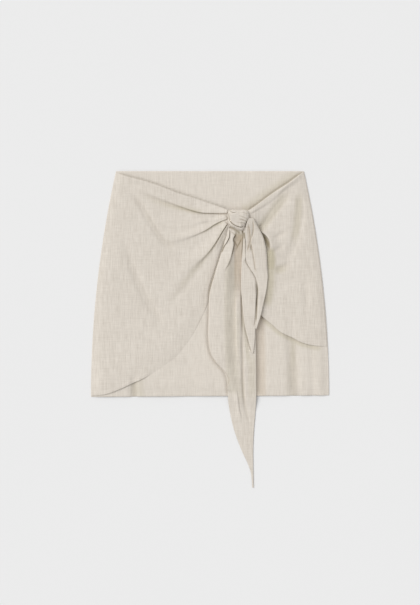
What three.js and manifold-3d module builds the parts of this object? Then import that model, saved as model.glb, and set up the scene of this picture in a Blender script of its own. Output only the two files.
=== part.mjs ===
// A short wrap skirt laid flat on a table, front side up.
// A plain underskirt of two panels carries two front panels, drawn from the side seams to a knot.
// The ends of those panels hang from the knot as one long tail and one short tail of two layers.
// Millimetres, +Z up, +Y to the waist. The origin is under the middle of the outline, on the table.

import * as THREE from 'three';
import { mergeVertices } from 'three/addons/utils/BufferGeometryUtils.js';
import Module from 'manifold-3d';

const wasm = await Module();
wasm.setup();

// Driving sizes
const WAIST_WIDTH = 375;
const HEM_WIDTH = 475;
const WAIST_Y = 316;
const HEM_Y = -133;
const HEM_SLANT = 3; // the hem lies this much higher at the wearer's left
const CLOTH = 1.2;
const LAYER_GAP = 0.3;
const RELIEF_GAP = 0.5; // between layers that both have folds

// The knot: a rounded bundle, broad at the top and narrow at the bottom, pleated across one way
const KNOT = {
  x: 57,
  y: 220,
  z: 13,
  halfLength: 21,
  halfBreadth: 18.5,
  halfHeight: 10,
  taper: 0.22, // how much broader the top is than the middle
  lean: 4, // how far the bottom lies to the right of the middle
};
const KNOT_PLEATS = { count: 4, depth: 0.09, turn: 0.5 };
const KNOT_RISE = 5; // how far the panels and tails climb towards the knot
const KNOT_RISE_REACH = 38;

// The underskirt's front stands off the back towards the hem, and dips to it in soft troughs
const FRONT_LEVEL = CLOTH + LAYER_GAP;
const FRONT_LOFT = { height: 2, fromY: 60, length: 190, sideReach: 30 };
const TROUGH_LEAN_HEIGHT = 60; // a trough's lean is its shift over this height above the hem
const FRONT_TROUGHS = [
  { x: -156, lean: 2, width: 7, depth: 1.6 },
  { x: -40, lean: -3, width: 20, depth: 0.7 },
  { x: 101, lean: 0, width: 8, depth: 1.6 },
  { x: 170, lean: -6, width: 9, depth: 1.7 },
  { x: 208, lean: -3, width: 7, depth: 0.6 },
];

// The wrap panels' edges: the rolled waist edge and the free hem, each from the side seam to the knot
const RIGHT_PANEL = {
  waist: { side: [-187.2, 313.5], bow: [-85, 289], knot: [39, 236] },
  hem: { side: [-236.6, -132.5], sweep: [-120, -120], rise: [-12, -62], knot: [40, 204] },
};
const LEFT_PANEL = {
  waist: { side: [186.8, 314], bow: [160, 308], knot: [75, 238] },
  hem: { side: [233.6, -35], sweep: [165, -28], rise: [86, -20], knot: [72, 204] },
};
const PANEL_LOFT = 0.9; // the wrap panels stand this much off the underskirt inside their edges
const PANEL_SIDE_REACH = 35;
const FOLD_SIDE_REACH = 18;

// Folds. Each has a foot line from..bend..to. The cloth stands up on one side of it (1 is left of
// the way it runs, -1 is right), steeply over `steep` and falling away over `soft`. The fades are
// the shares of its length over which it starts and ends.
const RIGHT_PANEL_FOLDS = [
  {
    fold: 'waist roll', from: [-186, 298], bend: [-84, 223], to: [36, 231],
    side: 1, height: 4, steep: 6, soft: 20, fadeIn: 0.25, fadeOut: 0.02,
  },
  {
    fold: 'upper dip', from: [-176, 277], bend: [-112, 222], to: [-91, 172],
    side: -1, height: 2, steep: 10, soft: 28, fadeIn: 0.3, fadeOut: 0.4,
  },
  {
    fold: 'middle crease', from: [-62, 178], bend: [-20, 184], to: [36, 219],
    side: 1, height: 2.6, steep: 5, soft: 14, fadeIn: 0.5, fadeOut: 0.02,
  },
  {
    fold: 'long crease', from: [-70, 78], bend: [-22, 106], to: [36, 213],
    side: 1, height: 3.6, steep: 6, soft: 24, fadeIn: 0.5, fadeOut: 0.02,
  },
  {
    fold: 'lower dip', from: [-145, 92], bend: [-124, 62], to: [-110, 24],
    side: -1, height: 1.2, steep: 12, soft: 28, fadeIn: 0.4, fadeOut: 0.4,
  },
];
const LEFT_PANEL_FOLDS = [
  {
    fold: 'waist roll', from: [176, 303], bend: [132, 270], to: [78, 231],
    side: -1, height: 2.4, steep: 4, soft: 9, fadeIn: 0.2, fadeOut: 0.02,
  },
  {
    fold: 'upper dip', from: [158, 282], bend: [122, 250], to: [104, 205],
    side: -1, height: 2.4, steep: 10, soft: 18, fadeIn: 0.25, fadeOut: 0.3,
  },
  {
    fold: 'side dip', from: [175, 285], bend: [177, 230], to: [171, 170],
    side: -1, height: 1.8, steep: 10, soft: 18, fadeIn: 0.3, fadeOut: 0.4,
  },
  {
    fold: 'middle dip', from: [158, 139], bend: [136, 128], to: [122, 100],
    side: -1, height: 1.2, steep: 10, soft: 18, fadeIn: 0.4, fadeOut: 0.4,
  },
  {
    fold: 'side line', from: [191, 155], bend: [190, 80], to: [194, 5],
    side: -1, height: 1, steep: 10, soft: 16, fadeIn: 0.3, fadeOut: 0.3,
  },
  {
    fold: 'lip by the tail', from: [99, 201], bend: [120, 182], to: [123, 120],
    side: 1, height: 3.6, steep: 4, soft: 14, fadeIn: 0.2, fadeOut: 0.6,
  },
];
const LONG_TAIL_FOLDS = [
  {
    fold: 'broad face', from: [47, 140], bend: [48, 40], to: [52, -95],
    side: -1, height: 3, steep: 16, soft: 34, fadeIn: 0.2, fadeOut: 0.3,
  },
  {
    fold: 'first strand', from: [39, 198], bend: [33, 168], to: [24, 132],
    side: -1, height: 2, steep: 4, soft: 8, fadeIn: 0.05, fadeOut: 0.5,
  },
  {
    fold: 'second strand', from: [48, 190], bend: [48, 160], to: [36, 112],
    side: -1, height: 2.4, steep: 4, soft: 9, fadeIn: 0.05, fadeOut: 0.4,
  },
  {
    fold: 'middle strip', from: [62, 60], bend: [63, 10], to: [62, -50],
    side: -1, height: 1.6, steep: 4, soft: 9, fadeIn: 0.2, fadeOut: 0.3,
  },
  {
    fold: 'long line', from: [63, -30], bend: [65, -120], to: [80, -200],
    side: -1, height: 1.8, steep: 4, soft: 10, fadeIn: 0.2, fadeOut: 0.3,
  },
];
const SHORT_TAIL_UNDER_FOLDS = [
  {
    fold: 'rolled edge', from: [71, 192], bend: [70, 160], to: [72, 110],
    side: -1, height: 1, steep: 3, soft: 6, fadeIn: 0.05, fadeOut: 0.5,
  },
];
const SHORT_TAIL_TOP_FOLDS = [
  {
    fold: 'outer face', from: [81, 214], bend: [84, 165], to: [94, 106],
    side: 1, height: 1.8, steep: 4, soft: 14, fadeIn: 0.05, fadeOut: 0.3,
  },
];

// The tails' outlines, from the tip up to the knot
const LONG_TAIL = [
  { y: -316, left: 84.7, right: 87.1 },
  { y: -290, left: 82.6, right: 86.6 },
  { y: -270, left: 76.6, right: 86.2 },
  { y: -240, left: 62.8, right: 86 },
  { y: -205, left: 49.8, right: 87.4 },
  { y: -170, left: 41, right: 90.2 },
  { y: -137, left: 36.2, right: 92.2 },
  { y: -105, left: 34.6, right: 92.2 },
  { y: -84, left: 28.4, right: 92 },
  { y: -62, left: 9.8, right: 91.8 },
  { y: -40, left: -0.6, right: 91.4 },
  { y: -10, left: -3.4, right: 90.6 },
  { y: 30, left: -2.4, right: 90.6 },
  { y: 70, left: -0.8, right: 91.5 },
  { y: 110, left: 9.5, right: 91.5 },
  { y: 150, left: 22, right: 86 },
  { y: 185, left: 32.5, right: 76 },
  { y: 207, left: 38, right: 69 },
];
const SHORT_TAIL_UNDER = [
  { y: -47, left: 84, right: 86.4 },
  { y: -22, left: 77, right: 89 },
  { y: 9, left: 69.5, right: 90 },
  { y: 49, left: 64.8, right: 91 },
  { y: 89, left: 62, right: 92.4 },
  { y: 135, left: 63.6, right: 88 },
  { y: 170, left: 66, right: 81 },
  { y: 203, left: 67, right: 75 },
];
const SHORT_TAIL_TOP = [
  { y: 2, left: 90.2, right: 92.6 },
  { y: 30, left: 91, right: 101.2 },
  { y: 56, left: 93, right: 107 },
  { y: 78, left: 94, right: 112 },
  { y: 103, left: 91, right: 114.6 },
  { y: 120, left: 81, right: 114.2 },
  { y: 136, left: 72.6, right: 113.4 },
  { y: 157, left: 70.8, right: 112 },
  { y: 183, left: 71.2, right: 106 },
  { y: 203, left: 73, right: 96 },
  { y: 221, left: 77, right: 86 },
];

// Levels of the tails' undersides over the table, and how thick their folded layers are
const LONG_TAIL_LEVEL = 5.6;
const SHORT_TAIL_UNDER_LEVEL = 8.3;
const SHORT_TAIL_TOP_LEVEL = 10.3;
const SHORT_TAIL_DROP = { height: 2.6, fromX: 92, width: 20 }; // its outer edge leans to the panel
const TAIL_FLOOR_Y = [-190, -137]; // the long tail comes down to the table between these
const TAIL_EDGE = 1.3;
const TAIL_EDGE_SHARE = 0.2;
const LONG_TAIL_BODY = 2.2; // folded lengthwise, so its hidden layers share one solid
const SHORT_TAIL_BODY = 1.5;

// Steps across and along each sheet, and round and down the knot
const BACK_GRID = [4, 12];
const FRONT_GRID = [38, 10];
const RIGHT_PANEL_GRID = [32, 26];
const LEFT_PANEL_GRID = [26, 22];
const LONG_TAIL_GRID = [15, 32];
const SHORT_TAIL_UNDER_GRID = [7, 14];
const SHORT_TAIL_TOP_GRID = [9, 18];
const KNOT_GRID = [26, 18];
const FOOT_STEPS = 24;

const CLOTH_COLOUR = 0xd9d1c5;
const UNDERSKIRT_COLOUR = 0xd3cabd;

const clamp01 = (t) => Math.min(1, Math.max(0, t));
const smooth = (t) => clamp01(t) ** 2 * (3 - 2 * clamp01(t));
const mix = (a, b, t) => a + (b - a) * t;
const mixPoint = (a, b, t) => [mix(a[0], b[0], t), mix(a[1], b[1], t)];
const vector = ([x, y]) => new THREE.Vector2(x, y);

// Half the skirt's width at a height y: the side seams are parabolas, steepest at the waist
function halfWidth(y) {
  const down = clamp01((WAIST_Y - y) / (WAIST_Y - HEM_Y));
  return mix(WAIST_WIDTH, HEM_WIDTH, 1 - (1 - down) ** 2) / 2;
}

// How far a point lies inside the side seams, as a smooth share of a reach
const insideSide = (x, y, reach) => smooth((halfWidth(y) - Math.abs(x)) / reach);

// How far the cloth has climbed towards the knot at a point
function knotRise(x, y) {
  const away = Math.hypot(x - KNOT.x, y - KNOT.y) / KNOT_RISE_REACH;
  return KNOT_RISE * Math.exp(-away * away);
}

// The point of a fold's foot line that is nearest to a place
function nearestFoot(fold, x, y) {
  const ends = [fold.from, fold.bend, fold.to].map(vector);
  fold.foot ??= new THREE.QuadraticBezierCurve(...ends).getPoints(FOOT_STEPS);
  let best = { distance: Infinity };
  for (let i = 0; i < FOOT_STEPS; i++) {
    const start = fold.foot[i];
    const dx = fold.foot[i + 1].x - start.x;
    const dy = fold.foot[i + 1].y - start.y;
    const along = clamp01(((x - start.x) * dx + (y - start.y) * dy) / (dx * dx + dy * dy));
    const offX = x - start.x - along * dx;
    const offY = y - start.y - along * dy;
    const distance = Math.hypot(offX, offY);
    if (distance < best.distance) {
      best = { distance, side: Math.sign(dx * offY - dy * offX), t: (i + along) / FOOT_STEPS };
    }
  }
  return best;
}

// The height that one fold gives the cloth at a place
function foldHeight(fold, x, y) {
  const { distance, side, t } = nearestFoot(fold, x, y);
  if (side !== fold.side) {
    return 0;
  }
  const ends = smooth(t / fold.fadeIn) * smooth((1 - t) / fold.fadeOut);
  const rise = smooth(distance / fold.steep);
  const fall = 1 - smooth((distance - fold.steep) / fold.soft);
  return fold.height * ends * rise * fall;
}

const foldsHeight = (folds, x, y) => folds.reduce((sum, fold) => sum + foldHeight(fold, x, y), 0);

// Undersides of the layers, as heights over the table
function frontUnder(x, y) {
  const { height, fromY, length, sideReach } = FRONT_LOFT;
  const loft = height * smooth((fromY - y) / length) * insideSide(x, y, sideReach);
  let dips = 0;
  for (const trough of FRONT_TROUGHS) {
    const off = x - trough.x - (trough.lean * (y - HEM_Y)) / TROUGH_LEAN_HEIGHT;
    dips += (trough.depth / height) * Math.exp(-((off / trough.width) ** 2));
  }
  return FRONT_LEVEL + loft * Math.max(0, 1 - dips);
}

function panelUnder(folds, x, y) {
  const inside = insideSide(x, y, PANEL_SIDE_REACH);
  const base = frontUnder(x, y) + CLOTH + mix(LAYER_GAP, RELIEF_GAP, inside) + knotRise(x, y);
  return base + PANEL_LOFT * inside + foldsHeight(folds, x, y) * insideSide(x, y, FOLD_SIDE_REACH);
}

function longTailUnder(x, y) {
  const [down, up] = TAIL_FLOOR_Y;
  return LONG_TAIL_LEVEL * smooth((y - down) / (up - down)) + knotRise(x, y);
}

const shortTailUnderUnder = (x, y) => SHORT_TAIL_UNDER_LEVEL + knotRise(x, y);

function shortTailTopUnder(x, y) {
  const { height, fromX, width } = SHORT_TAIL_DROP;
  return SHORT_TAIL_TOP_LEVEL - height * smooth((x - fromX) / width) + knotRise(x, y);
}

// A wall of cloth measured square to its slope
function wall(under, x, y) {
  const step = 1;
  const steepest = 1.8;
  const slopeX = (under(x + step, y) - under(x - step, y)) / (2 * step);
  const slopeY = (under(x, y + step) - under(x, y - step)) / (2 * step);
  return CLOTH * Math.min(steepest, Math.hypot(1, slopeX, slopeY));
}

// A tail's thickness: its folded layers are thin at its edges, and its folds stand on them
function tailThickness(body, folds, x, y, u) {
  const inside = smooth(Math.min(u, 1 - u) / TAIL_EDGE_SHARE);
  return mix(TAIL_EDGE, body, inside) + foldsHeight(folds, x, y) * inside;
}

// A closed sheet: place(u, v) gives a point of the outline's grid, under and thick its two faces
function layCloth([columns, rows], place, under, thick) {
  const box = new THREE.BoxGeometry(1, 1, 1, columns, rows, 1);
  box.deleteAttribute('normal');
  box.deleteAttribute('uv');
  const sheet = mergeVertices(box);
  const point = sheet.attributes.position;
  for (let i = 0; i < point.count; i++) {
    const u = point.getX(i) + 0.5;
    const [x, y] = place(u, point.getY(i) + 0.5);
    const isTop = point.getZ(i) > 0;
    point.setXYZ(i, x, y, under(x, y) + (isTop ? thick(x, y, u) : 0));
  }
  return sheet;
}

// A point of an underskirt panel
function skirtPoint(u, v) {
  const hem = HEM_Y + HEM_SLANT * (u - 0.5);
  const y = mix(hem, WAIST_Y, v);
  return [(2 * u - 1) * halfWidth(y), y];
}

// A point of a wrap panel: a patch between its hem, waist edge, side seam and knot end.
// across runs from the side seam (0) to the knot (1), up from the hem (0) to the waist edge (1).
function panelPoint(panel, across, up) {
  const side = Math.sign(panel.waist.side[0]);
  const hem = new THREE.CubicBezierCurve(...Object.values(panel.hem).map(vector)).getPoint(across);
  const waist = new THREE.QuadraticBezierCurve(...Object.values(panel.waist).map(vector)).getPoint(across);
  const straight = mixPoint(panel.hem.side, panel.waist.side, up);
  const inset = halfWidth(panel.hem.side[1]) - Math.abs(panel.hem.side[0]);
  const seam = side * (halfWidth(straight[1]) - inset);
  const [x, y] = mixPoint([hem.x, hem.y], [waist.x, waist.y], up);
  return [x + (1 - across) * (seam - straight[0]), y];
}

// A point of a tail, between smooth curves through its outline's rows
function tailPoint(outline, u, v) {
  outline.edges ??= ['left', 'right'].map(
    (edge) => new THREE.SplineCurve(outline.map((row) => new THREE.Vector2(row[edge], row.y))),
  );
  const [left, right] = outline.edges.map((edge) => edge.getPoint(v));
  return mixPoint([left.x, left.y], [right.x, right.y], u);
}

// The knot, grown by a clearance, with pleats as rings round an axis that is turned in its plane
function knotShape(clearance) {
  const ball = new THREE.SphereGeometry(1, ...KNOT_GRID);
  ball.deleteAttribute('normal');
  ball.deleteAttribute('uv');
  const knot = mergeVertices(ball);
  const point = knot.attributes.position;
  const { count, depth, turn } = KNOT_PLEATS;
  for (let i = 0; i < point.count; i++) {
    const across = point.getX(i);
    const up = point.getY(i);
    const along = across * Math.cos(turn) + up * Math.sin(turn);
    const pleat = 1 - (depth / 2) * (1 - Math.cos(along * count * Math.PI));
    point.setXYZ(
      i,
      across * (1 + KNOT.taper * up) * pleat * (KNOT.halfLength + clearance) - KNOT.lean * up,
      up * pleat * (KNOT.halfBreadth + clearance),
      point.getZ(i) * pleat * (KNOT.halfHeight + clearance),
    );
  }
  return knot.translate(KNOT.x, KNOT.y, KNOT.z);
}

function toSolid(geometry) {
  return new wasm.Manifold(
    new wasm.Mesh({
      numProp: 3,
      vertProperties: new Float32Array(geometry.attributes.position.array),
      triVerts: new Uint32Array(geometry.index.array),
    }),
  );
}

function toGeometry(solid) {
  const { vertProperties, triVerts } = solid.getMesh();
  const geometry = new THREE.BufferGeometry();
  geometry.setAttribute('position', new THREE.BufferAttribute(vertProperties, 3));
  geometry.setIndex(new THREE.BufferAttribute(triVerts, 1));
  return geometry;
}

// The cloth with room left for the knot, without any crumb that the cut parts from it
function clearOfKnot(geometry) {
  const pieces = toSolid(geometry).subtract(toSolid(knotShape(LAYER_GAP))).decompose();
  pieces.sort((a, b) => b.volume() - a.volume());
  return toGeometry(pieces[0]);
}

const skirt = new THREE.Group();

function addPiece(name, geometry, colour = CLOTH_COLOUR) {
  geometry.computeVertexNormals();
  const material = new THREE.MeshStandardMaterial({ color: colour, roughness: 0.9, metalness: 0 });
  const mesh = new THREE.Mesh(geometry, material);
  mesh.name = name;
  skirt.add(mesh);
}

function addUnderskirt() {
  addPiece('back_panel', layCloth(BACK_GRID, skirtPoint, () => 0, () => CLOTH), UNDERSKIRT_COLOUR);
  const thick = (x, y) => wall(frontUnder, x, y);
  addPiece('front_panel', layCloth(FRONT_GRID, skirtPoint, frontUnder, thick), UNDERSKIRT_COLOUR);
}

function addWrapPanel(name, grid, panel, isRight, folds) {
  const place = (u, v) => panelPoint(panel, isRight ? u : 1 - u, v);
  const under = (x, y) => panelUnder(folds, x, y);
  const thick = (x, y) => wall(under, x, y);
  addPiece(name, clearOfKnot(layCloth(grid, place, under, thick)));
}

function addTail(name, grid, outline, under, body, folds) {
  const place = (u, v) => tailPoint(outline, u, v);
  const thick = (x, y, u) => tailThickness(body, folds, x, y, u);
  addPiece(name, clearOfKnot(layCloth(grid, place, under, thick)));
}

addUnderskirt();
addWrapPanel('wrap_panel_right', RIGHT_PANEL_GRID, RIGHT_PANEL, true, RIGHT_PANEL_FOLDS);
addWrapPanel('wrap_panel_left', LEFT_PANEL_GRID, LEFT_PANEL, false, LEFT_PANEL_FOLDS);
addTail('tail_long', LONG_TAIL_GRID, LONG_TAIL, longTailUnder, LONG_TAIL_BODY, LONG_TAIL_FOLDS);
addTail(
  'tail_short_under',
  SHORT_TAIL_UNDER_GRID,
  SHORT_TAIL_UNDER,
  shortTailUnderUnder,
  SHORT_TAIL_BODY,
  SHORT_TAIL_UNDER_FOLDS,
);
addTail(
  'tail_short_top',
  SHORT_TAIL_TOP_GRID,
  SHORT_TAIL_TOP,
  shortTailTopUnder,
  SHORT_TAIL_BODY,
  SHORT_TAIL_TOP_FOLDS,
);
addPiece('knot', knotShape(0));

export default skirt;
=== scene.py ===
import math
from collections import namedtuple

import bmesh
import bpy
import numpy as np
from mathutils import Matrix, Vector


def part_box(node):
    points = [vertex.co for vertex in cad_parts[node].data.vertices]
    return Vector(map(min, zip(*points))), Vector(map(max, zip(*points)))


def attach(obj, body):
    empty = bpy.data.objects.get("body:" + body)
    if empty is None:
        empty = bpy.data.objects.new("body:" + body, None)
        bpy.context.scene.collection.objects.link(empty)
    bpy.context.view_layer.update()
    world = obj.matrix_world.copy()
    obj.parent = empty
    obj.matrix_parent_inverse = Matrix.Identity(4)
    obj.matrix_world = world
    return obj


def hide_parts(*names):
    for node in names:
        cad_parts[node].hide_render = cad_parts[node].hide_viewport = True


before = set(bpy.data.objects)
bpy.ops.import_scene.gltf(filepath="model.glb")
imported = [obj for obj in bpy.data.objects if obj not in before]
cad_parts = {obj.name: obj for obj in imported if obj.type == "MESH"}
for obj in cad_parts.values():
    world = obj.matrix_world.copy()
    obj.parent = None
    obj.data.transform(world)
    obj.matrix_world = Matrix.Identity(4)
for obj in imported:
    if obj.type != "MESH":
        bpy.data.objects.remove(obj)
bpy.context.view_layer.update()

MM = 0.001

# Sizes of the skirt: its hem and its waist edge stand where the solid of the back has them
low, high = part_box("back_panel")
HEM_WIDTH = (high.x - low.x) / MM
HEM_SLANT = 3
HEM_Y = low.y / MM + HEM_SLANT / 2
WAIST_Y = high.y / MM
WAIST_WIDTH = 375

# Cloth
CLOTH = 1.2  # a wall of the solids
LINEN = 0.7  # the cloth itself
LAYER_GAP = 0.3
RELIEF_GAP = 0.5
SEAM_REACH = 14  # the layers close up over this width at the side seams
SEAM_GAP = 0.15  # and this much stays between them there
HEM_TURN = 6  # width of the narrow turned hem on the wraps
HEM_TURN_LIFT = 0.35
HEM_TURN_ROUND = 1.2  # width over which its edge and its step are rounded
HEM_EDGE_DROP = 0.35
RUMPLES = [(0.22, 34), (0.10, 13), (0.04, 6)]  # heights and sizes of the linen's small unevenness
LATTICE = 128  # soft hills are drawn on a lattice of this many points a side
LATTICE_TURN = 0.6

# Two rises of the cloth: under the knot, and where the left wrap enters it
KNOT_HILL = dict(x=57, y=220, height=5, reach=38)
SHOULDER = dict(x=86, y=226, height=4, reach=16)

# The underskirt's front
FRONT_LEVEL = CLOTH + LAYER_GAP
FRONT_LOFT = dict(height=3, from_y=60, length=190, side_reach=26, hem_reach=26, hem_share=0.3)
FRONT_LOWEST = FRONT_LEVEL + 0.2  # its troughs flatten out softly at this level
FRONT_FLATTENING = 3
FRONT_RUMPLE_REACH = 20
FRONT_EDGE = dict(width=1.4, drop=0.4)
TROUGH_LEAN_HEIGHT = 60
TROUGH_FULL_SHARE = 0.5  # of its length; higher up a trough fades out
FrontTrough = namedtuple("FrontTrough", "x lean width depth length")
FRONT_TROUGHS = [
    FrontTrough(-152, 1, 6.5, 3, 40),
    FrontTrough(-40, -3, 20, 1.0, 90),
    FrontTrough(70, 0, 9, 1.2, 90),
    FrontTrough(170, -4, 10, 4.6, 130),
    FrontTrough(207, -3, 7, 1.2, 110),
]

# The wraps: waist edge and hem from the side seam to the knot, and how far the hem stands
# off the underskirt, as pairs of a share of the hem's length and a height
RIGHT_WRAP = dict(
    waist=[(-187.2, 313.5), (-167, 306), (-134, 297.5), (-101, 287), (-68, 274), (-34, 263),
           (10, 248), (42, 237)],
    hem=[(-236.6, -132.5), (-209, -129.5), (-184, -121), (-158, -109), (-126, -94), (-84, -66),
         (-66, -52), (-38, -15), (-18, 22), (-4.6, 52), (14, 104), (32, 160), (46, 206)],
    lift=[(0, 0.2), (0.05, 1.2), (0.19, 1.9), (0.235, 0.6), (0.27, 0), (0.46, 0), (0.54, 0.15),
          (1, 0.3)],
    roll=1.7,
)
LEFT_WRAP = dict(
    waist=[(186.8, 314), (179, 309), (156, 292.5), (130, 275.5), (110, 261), (90, 246), (76, 237),
           (66, 231)],
    hem=[(233.6, -35), (202, -31), (180, -24.5), (166, -17), (141, -5), (124, 10), (109, 22),
         (100, 32), (92, 60), (84, 110), (74, 160), (66, 206)],
    lift=[(0, 0.1), (0.05, 0.6), (0.14, 2.4), (0.24, 2.6), (0.32, 1.4), (0.38, 1.4), (0.44, 3.6),
          (0.5, 3.6), (1, 1)],
    roll=2.2,
)
WRAP_LOFT = 0.9
WRAP_SIDE_REACH = 35
FOLD_SIDE_REACH = 18
SETTLE_REACH = 40  # from its hem a wrap rises to its full height over this width
WRAP_RUMPLE = 0.6
WRAP_TROUGH_HEM_REACH = 14
WAIST_ROLL = dict(rise=1.6, width=12, start=0.35)
FLUSH_LIFT = 0.5  # with less lift than this, a wrap's hem flattens out on the underskirt
FLUSH_HEM = dict(width=9, drop=0.62)

LINE_STEPS = 28  # straight steps by which distances from a line are measured
TRACE_STEPS = 400

# Folds: the cloth stands up on one side of a foot line (1 is left of the way it runs, -1 is right).
# steep, soft: widths of its rise and its fall, given at even steps along the line
# fades: shares of the line over which the fold starts and ends
# lean: how upright the rise stands; over 1 its crest hangs over the foot line
Fold = namedtuple("Fold", "points side height steep soft fades lean")
RIGHT_WRAP_FOLDS = [
    Fold([(-187, 299), (-144, 272), (-90, 252), (-44, 239), (-18, 233), (14, 231), (36, 230)],
         1, 4.2, (11, 10, 8, 4, 2.2, 3, 3.6), (28, 24, 16, 10), (0.3, 0.02),
         (0, 0, 0.1, 0.6, 1, 0.5, 0.3)),
    Fold([(-118, 190), (-98, 176), (-72, 170), (-44, 178), (-10, 196), (12, 211), (36, 220)],
         1, 3, (14, 12, 11, 9, 5, 2.4, 3.6), (18, 12, 9), (0.75, 0.02),
         (0, 0, 0, 0.2, 0.7, 0.9, 0.4)),
    Fold([(-43, 204), (-18, 210), (8, 215), (34, 224)],
         1, 1.4, (6, 3), (9, 6), (0.4, 0.05), 0),
    Fold([(-72, 58), (-51, 90), (-26, 120), (-10, 140), (6, 164), (22, 192), (35, 212)],
         1, 3.6, (20, 18, 12, 6, 3, 2.2), (36, 30, 20, 12), (0.5, 0.02), (0, 0, 0.1, 0.5, 1, 1)),
    Fold([(4, 156), (12, 170), (24, 192), (37, 212)],
         -1, 2, (3, 2), (7, 4), (0.4, 0.02), 0.6),
]
LEFT_WRAP_FOLDS = [
    Fold([(182, 300), (150, 277), (136, 263), (108, 243), (82, 228)],
         -1, 1.2, (7, 6, 5), (9, 7, 5), (0.3, 0.02), 0.1),
    Fold([(98, 198), (105, 193), (112, 187.5), (117.5, 180), (119.5, 171), (120, 150), (122, 122)],
         1, 4.6, (1.5, 2, 3, 5), (16,), (0.12, 0.5), 1.4),
    Fold([(112, 206), (132, 196), (146, 176), (150, 150), (147, 110), (138, 70), (124, 40)],
         -1, 3, (24, 32, 34, 34, 24), (30,), (0.25, 0.2), 0),
]
LONG_TAIL_FOLDS = [
    Fold([(48, 160), (48, 110), (49, 40), (49, 0), (50, -50), (53, -96)],
         -1, 5, (8, 18, 20, 20, 14), (75,), (0.2, 0.2), 0),
    Fold([(38.4, 199), (37, 185), (32.4, 174), (27, 163), (23, 152)],
         -1, 3.2, (1.8, 2), (9,), (0.05, 0.1), 1.15),
    Fold([(50, 188), (47, 184), (45.4, 178.5), (46.8, 171.5), (45.4, 162), (42.6, 151),
          (38.4, 136), (34, 122), (26, 104)],
         -1, 3.6, (1.6, 1.8, 2, 3, 8), (16, 24), (0.02, 0.3), 1.2),
    Fold([(50, 72), (50, 20), (51, -30), (54, -70)],
         1, 3, (3, 4), (22,), (0.15, 0.35), 0.3),
    Fold([(53, -110), (57, -133), (61, -162), (68, -184)],
         -1, 1.6, (4,), (9,), (0.3, 0.3), 0.3),
    Fold([(33, -124), (36, -112), (38.5, -100), (33, -88), (22, -72)],
         -1, 2.2, (2,), (16,), (0.1, 0.3), 1),
]
STRIP_FOLDS = [
    Fold([(62, 202), (66, 182), (68, 168), (67, 155), (66, 142)],
         1, 2, (2,), (5,), (0.04, 0.5), 0.8),
    Fold([(71, 196), (71, 182), (71.5, 165), (71, 145), (72, 136)],
         -1, 2, (2,), (4,), (0.04, 0.3), 0.9),
]
FACE_FOLDS = [
    Fold([(85.6, 220), (87.8, 205), (86.6, 191), (83.4, 175), (84.4, 163), (87.6, 145), (90, 129),
          (93, 106)],
         1, 1.7, (2, 2.2), (70,), (0.05, 0.1), 1),
    Fold([(76.6, 213), (80, 196), (81.4, 178), (78, 164), (74.3, 154)],
         1, 1.5, (1.6,), (6,), (0.15, 0.25), 0.8),
]

# Troughs: a hollow along a line, as wide on both sides
Trough = namedtuple("Trough", "points width depth fades")
RIGHT_WRAP_TROUGHS = [
    Trough([(-170, 284), (-144, 256), (-118, 214), (-98, 184), (-80, 169), (-58, 168)],
           6, 3.3, (0.35, 0.35)),
    Trough([(-172, 186), (-160, 140), (-142, 92), (-120, 50), (-100, 22), (-84, 16)],
           8, 3, (0.35, 0.35)),
    Trough([(-84, 52), (-58, 74), (-30, 108), (0, 148)], 8, 1.4, (0.35, 0.4)),
    Trough([(-3, 50), (-1.5, 76), (4, 96), (9.5, 112), (21.5, 150), (31.5, 185), (36, 200)],
           1.7, 2.4, (0.1, 0.5)),
]
LEFT_WRAP_TROUGHS = [
    Trough([(168, 284), (139, 249), (121, 227), (105, 203), (99, 194)], 8, 2.8, (0.25, 0.1)),
    Trough([(106, 212), (99, 202), (96, 194)], 3.6, 2.8, (0.3, 0.2)),
    Trough([(180, 286), (181, 250), (177, 212), (170, 176), (156, 144), (140, 124)],
           9, 2.8, (0.3, 0.45)),
    Trough([(100, 193), (107, 186), (113, 177), (116, 168), (117, 152)], 5, 9.5, (0.15, 0.3)),
    Trough([(156, 196), (142, 190), (126, 180)], 5, 1.6, (0.4, 0.3)),
    Trough([(152, 170), (138, 162), (124, 152)], 5, 1.6, (0.4, 0.3)),
    Trough([(164, 136), (148, 125), (128, 118)], 6, 1.9, (0.4, 0.3)),
    Trough([(191, 120), (192, 70), (194, 20)], 7, 1.3, (0.4, 0.4)),
]
UNDERSKIRT_TROUGHS = [
    Trough([(31, 185), (21, 150), (9.5, 112), (0, 76), (-2.8, 30), (-4, -10), (-1.5, -40),
            (9, -62), (27.5, -84), (34, -105), (36, -135)],
           3.2, 2, (0.05, 0.03)),
    Trough([(104, 40), (103, 20), (103, -40), (103, -133)], 9, 2.3, (0.1, 0.03)),
    Trough([(97, 40), (97, 20), (98, -40), (99, -133)], 5, 1.8, (0.1, 0.03)),
    Trough([(102, 36), (104, 27), (106, 17)], 3.4, 5, (0.1, 0.3)),
    Trough([(186, 315.6), (178.4, 311), (155.2, 294.6), (129.2, 277.4), (109.2, 263), (89.2, 248),
            (76, 239)],
           1.9, 2.4, (0.1, 0.02)),
    Trough([(-187, 315), (-167, 308), (-134, 299.5), (-101, 289), (-68, 276), (-34, 265),
            (10, 250), (36, 241)],
           1.7, 1.5, (0.15, 0.02)),
    Trough([(34, 241), (56, 241), (78, 241)], 2, 1, (0.1, 0.1)),
]
STRIP_TROUGHS = [
    Trough([(67.6, 194), (68.2, 178)], 1.2, 3, (0.2, 0.3)),
    Trough([(71.4, 164), (70.4, 150), (73.4, 138)], 1.4, 3, (0.15, 0.2)),
    Trough([(70, 140), (73, 134), (82, 120), (91, 104), (93.5, 84), (94, 60), (92.5, 30), (91, 6)],
           2, 2.4, (0.1, 0.1)),
    Trough([(93, 96), (94.5, 60), (93, 30), (91, 6)], 2.2, 5, (0.1, 0.1)),
]
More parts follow.
